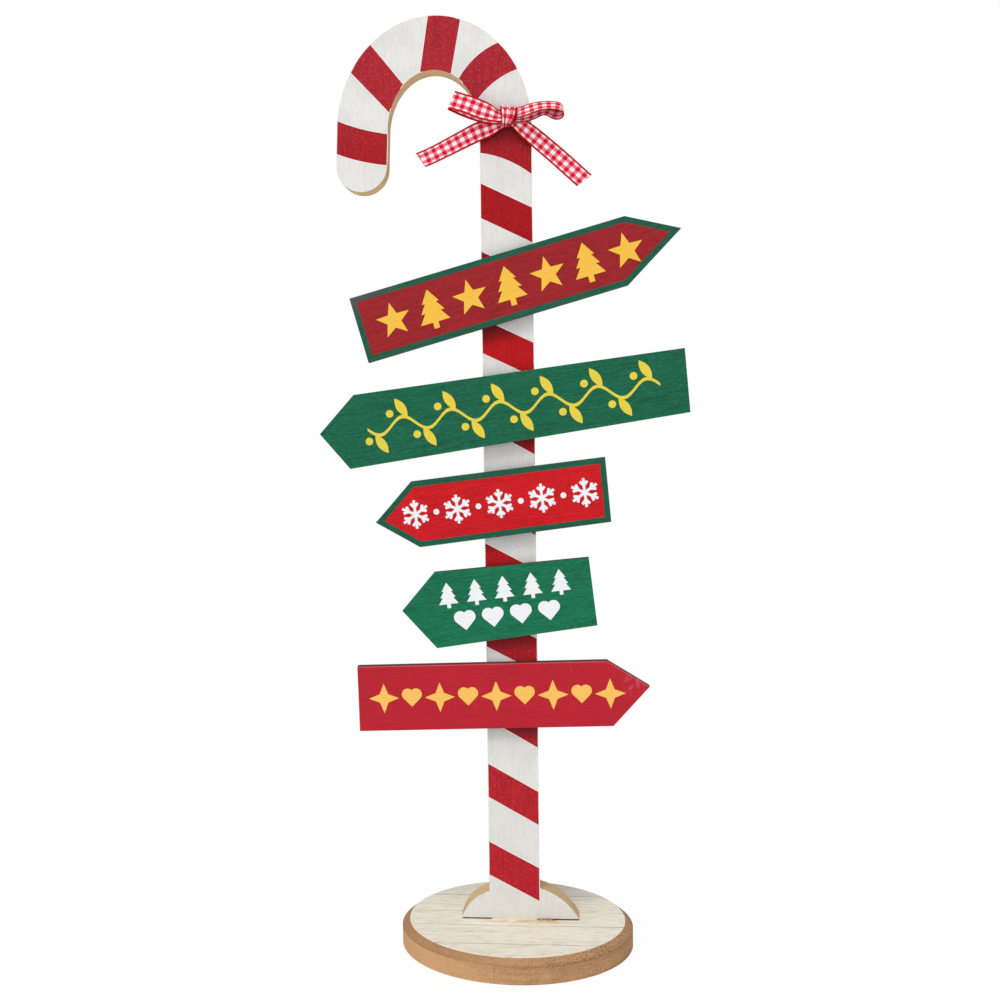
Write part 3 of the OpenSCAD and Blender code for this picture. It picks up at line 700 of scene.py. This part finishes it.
class Cloth:
    """Closed strips of ribbon that end up in one mesh."""

    def __init__(self):
        self.points, self.faces, self.uvs = [], [], []
        self.length = 0.0

    def strip(self, stations, gathers, fade, seed, ragged=0.0, columns=28):
        """Lays a ribbon between two edges; gathers holds the depth of its folds at the
        first and the last end, which die out over fade millimetres."""
        first = smooth([at_depth(a) for a, b in stations])
        second = smooth([at_depth(b) for a, b in stations])
        middle = (first + second) / 2
        steps = np.linalg.norm(np.diff(middle, axis=0), axis=1)
        run = np.concatenate([[0], np.cumsum(steps)])
        along = unit(np.gradient(middle, axis=0))
        across = second - first
        u = np.linspace(0, 1, columns + 1)
        depth = (gathers[0] * np.exp(-(run / fade) ** 2)
                 + gathers[1] * np.exp(-((run[-1] - run) / fade) ** 2))
        folds = np.outer(depth, np.cos(2 * math.pi * FOLDS * u + seed))
        grid = first[:, None] + across[:, None] * u[None, :, None]
        grid = grid + unit(np.cross(along, across))[:, None] * folds[:, :, None]
        if ragged:
            rng = random.Random(seed + 5)
            for j in range(columns + 1):
                grid[-1, j] += along[-1] * ragged * (rng.random() - RAGGED_INWARD)
        # How far along the ribbon each point lies: the checks stay square to its run
        ahead = run[:, None] + np.einsum("ijk,ik->ij", grid - middle[:, None], along)
        self.add_slab(grid, u, (ahead + self.length) / RIBBON_W)
        self.length += run[-1]

    def add_slab(self, grid, u, v):
        """Adds the closed slab whose middle is the grid; u and v say where each point
        lies across and along the ribbon."""
        face = unit(np.cross(np.gradient(grid, axis=0), np.gradient(grid, axis=1)))
        rows, width = grid.shape[:2]
        start = len(self.points)
        for side in (0.5, -0.5):
            self.points.extend((grid + face * RIBBON_T * side).reshape(-1, 3))

        def add(*corners):
            self.faces.append([start + (side * rows + i) * width + j for i, j, side in corners])
            self.uvs.extend([(u[j], v[i, j]) for i, j, side in corners])

        last, edge = rows - 1, width - 1
        for i in range(last):
            for j in range(edge):
                add((i, j, 0), (i + 1, j, 0), (i + 1, j + 1, 0), (i, j + 1, 0))
                add((i, j, 1), (i, j + 1, 1), (i + 1, j + 1, 1), (i + 1, j, 1))
            add((i, 0, 0), (i, 0, 1), (i + 1, 0, 1), (i + 1, 0, 0))
            add((i, edge, 0), (i + 1, edge, 0), (i + 1, edge, 1), (i, edge, 1))
        for j in range(edge):
            add((0, j, 0), (0, j + 1, 0), (0, j + 1, 1), (0, j, 1))
            add((last, j, 0), (last, j, 1), (last, j + 1, 1), (last, j + 1, 0))

    def object(self, name):
        """The mesh object of all the strips so far."""
        mesh = bpy.data.meshes.new(name)
        mesh.from_pydata([tuple(p * MM) for p in self.points], [], self.faces)
        layer = mesh.uv_layers.new(name="weave")
        for i, uv in enumerate(self.uvs):
            layer.data[i].uv = uv
        for polygon in mesh.polygons:
            polygon.use_smooth = True
        piece = bpy.data.objects.new(name, mesh)
        bpy.context.scene.collection.objects.link(piece)
        return piece


# The ribbon's weave, in shares of its width: the selvedge, the width of the red bands
# along it, which is also how far they lie from its middle, the width of those across
# it, and how soft the borders are
SELVEDGE = 0.1
BAND_ALONG = 0.2
BAND_ACROSS = 0.245
BAND_SOFT = 0.03
RIM_SOFT = 0.005
# How near the next fold has to be for painted shade in a crease, in metres
CREASE_SHADE_REACH = 0.004


def gingham():
    """Red and white checks between two red selvedges, from the strip's own u and v, with
    painted shade in the creases.
    """
    g = Graph("gingham_ribbon")
    white, pink, red = rgb(253, 241, 245), rgb(232, 122, 138), rgb(216, 0, 20)
    selvedge_red, crease_shade_red = rgb(190, 0, 16), rgb(172, 4, 22)
    u, v = g.axes("UV")[:2]
    away = g.apart(u, 0.5)
    along = g.ramp(g.apart(away, BAND_ALONG), (BAND_ALONG - BAND_SOFT) / 2,
                   (BAND_ALONG + BAND_SOFT) / 2, 1, 0)
    part = g.math("FRACT", g.times(v, 0.5 / BAND_ACROSS))
    across = g.times(g.ramp(part, 0.5 - BAND_SOFT, 0.5 + BAND_SOFT),
                     g.ramp(part, 1 - BAND_SOFT, 1.0, 1.0, 0.0))
    rim = g.ramp(away, 0.5 - SELVEDGE - RIM_SOFT, 0.5 - SELVEDGE + RIM_SOFT)
    red_share = g.larger(g.times(g.plus(along, across), 0.5), rim)
    tone = g.mix(g.ramp(red_share, 0.05, 0.5), white, pink)
    tone = g.mix(g.ramp(red_share, 0.5, 0.95), tone, red)
    tone = g.mix(rim, tone, selvedge_red)
    threads = g.noise((2600, 2600, 2600), detail=2.0)
    tone = g.mix(g.ramp(threads, 0.5, 0.7, 0.0, 0.15), tone, toned(pink, 0.6))
    # Painted shade: a deeper red where another fold lies near
    feeler = g.add("AmbientOcclusion", {"Distance": CREASE_SHADE_REACH}, samples=8)
    crease_shade = g.ramp(feeler.outputs["AO"], 0.2, 0.7, 0.9, 0.0)
    tone = g.mix(crease_shade, tone, crease_shade_red)
    return g.finish(tone, roughness=0.8, height=threads, depth=0.0001, specular=0.1)


def make_bow():
    """The tied ribbon, which stands in for the solid bow."""
    cloth = Cloth()
    cloth.strip(LEFT_LOOP, gathers=(0.9, 0.7), fade=7.0, seed=1)
    cloth.strip(RIGHT_LOOP, gathers=(0.8, 0.6), fade=6.0, seed=2)
    cloth.strip(LEFT_TAIL, gathers=(0.6, 0.0), fade=6.0, seed=3, ragged=1.2)
    cloth.strip(RIGHT_TAIL, gathers=(0.6, 0.0), fade=6.0, seed=4, ragged=0.9)
    cloth.strip(KNOT, gathers=(0.27, 0.27), fade=60.0, seed=0, columns=48)
    bow = cloth.object("gingham_bow")
    bow.data.materials.append(gingham())
    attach(bow, "root")
    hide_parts("ribbon_bow")


make_bow()

FLOOR_SIDE = 12
# How much of the floor's look is plain white near the base, and the distances from its
# middle between which that grows to all of it; the rest is lit floor with a shadow
FLOOR_WHITE = 0.94
SHADOW_REACH = (0.07, 0.13)
# The sky's light, and the white that the camera sees instead of it
SKY = (0.97, 0.98, 1.0, 1)
SKY_STRENGTH = 0.42
WHITE = (1, 1, 1, 1)
# Each light's place, side in metres and power in watts; all aim at one point
LIGHTS = {
    "key": ((-1.6, -3.4, 1.3), 2.2, 24),
    "fill": ((1.2, -1.3, 0.4), 1.2, 4),
    "top": ((-1.2, -2.2, 4.2), 2.5, 104),
}
LIT_POINT = (0, 0, 0.2)


def make_stage():
    """A pale floor that fades to plain white away from the base."""
    bpy.ops.mesh.primitive_plane_add(size=FLOOR_SIDE, location=(0, 0, 0))
    floor = bpy.context.object
    floor.name = "floor"
    g = Graph("floor_paint")
    cloud = g.noise((2, 2, 2), detail=2.0)
    tone = g.mix(g.ramp(cloud, 0.3, 0.7), rgb(250, 250, 250), rgb(254, 254, 254))
    diffuse = g.add("BsdfDiffuse", {"Color": tone})
    glow = g.add("Emission", {"Color": WHITE, "Strength": 1.0})
    x, y = g.axes()[:2]
    share = g.ramp(g.diagonal(x, y), *SHADOW_REACH, FLOOR_WHITE, 1.0)
    seen = g.times(g.add("LightPath").outputs["Is Camera Ray"], share)
    floor.data.materials.append(g.put_out(g.add(
        "MixShader", {0: seen, 1: diffuse.outputs[0], 2: glow.outputs[0]})))


def make_light(name, at, side, power):
    """A square light that aims at LIT_POINT."""
    data = bpy.data.lights.new(name, "AREA")
    data.size = side
    data.energy = power
    light = bpy.data.objects.new(name, data)
    bpy.context.scene.collection.objects.link(light)
    light.location = at
    aim = Vector(LIT_POINT) - Vector(at)
    light.rotation_euler = aim.to_track_quat("-Z", "Y").to_euler()


def make_world():
    """An even sky that lights the object; the camera sees plain white."""
    world = bpy.data.worlds.new("world")
    bpy.context.scene.world = world
    world.use_nodes = True
    tree = world.node_tree
    tree.nodes.clear()
    path = tree.nodes.new("ShaderNodeLightPath")
    mixed = tree.nodes.new("ShaderNodeMixShader")
    tree.links.new(path.outputs["Is Camera Ray"], mixed.inputs[0])
    for i, (colour, strength) in enumerate(((SKY, SKY_STRENGTH), (WHITE, 1.0))):
        background = tree.nodes.new("ShaderNodeBackground")
        background.inputs["Color"].default_value = colour
        background.inputs["Strength"].default_value = strength
        tree.links.new(background.outputs[0], mixed.inputs[i + 1])
    out = tree.nodes.new("ShaderNodeOutputWorld")
    tree.links.new(mixed.outputs[0], out.inputs["Surface"])


make_stage()
make_world()
for light_name, (at, side, power) in LIGHTS.items():
    make_light(light_name, at, side, power)
bpy.context.scene.view_settings.view_transform = "Standard"
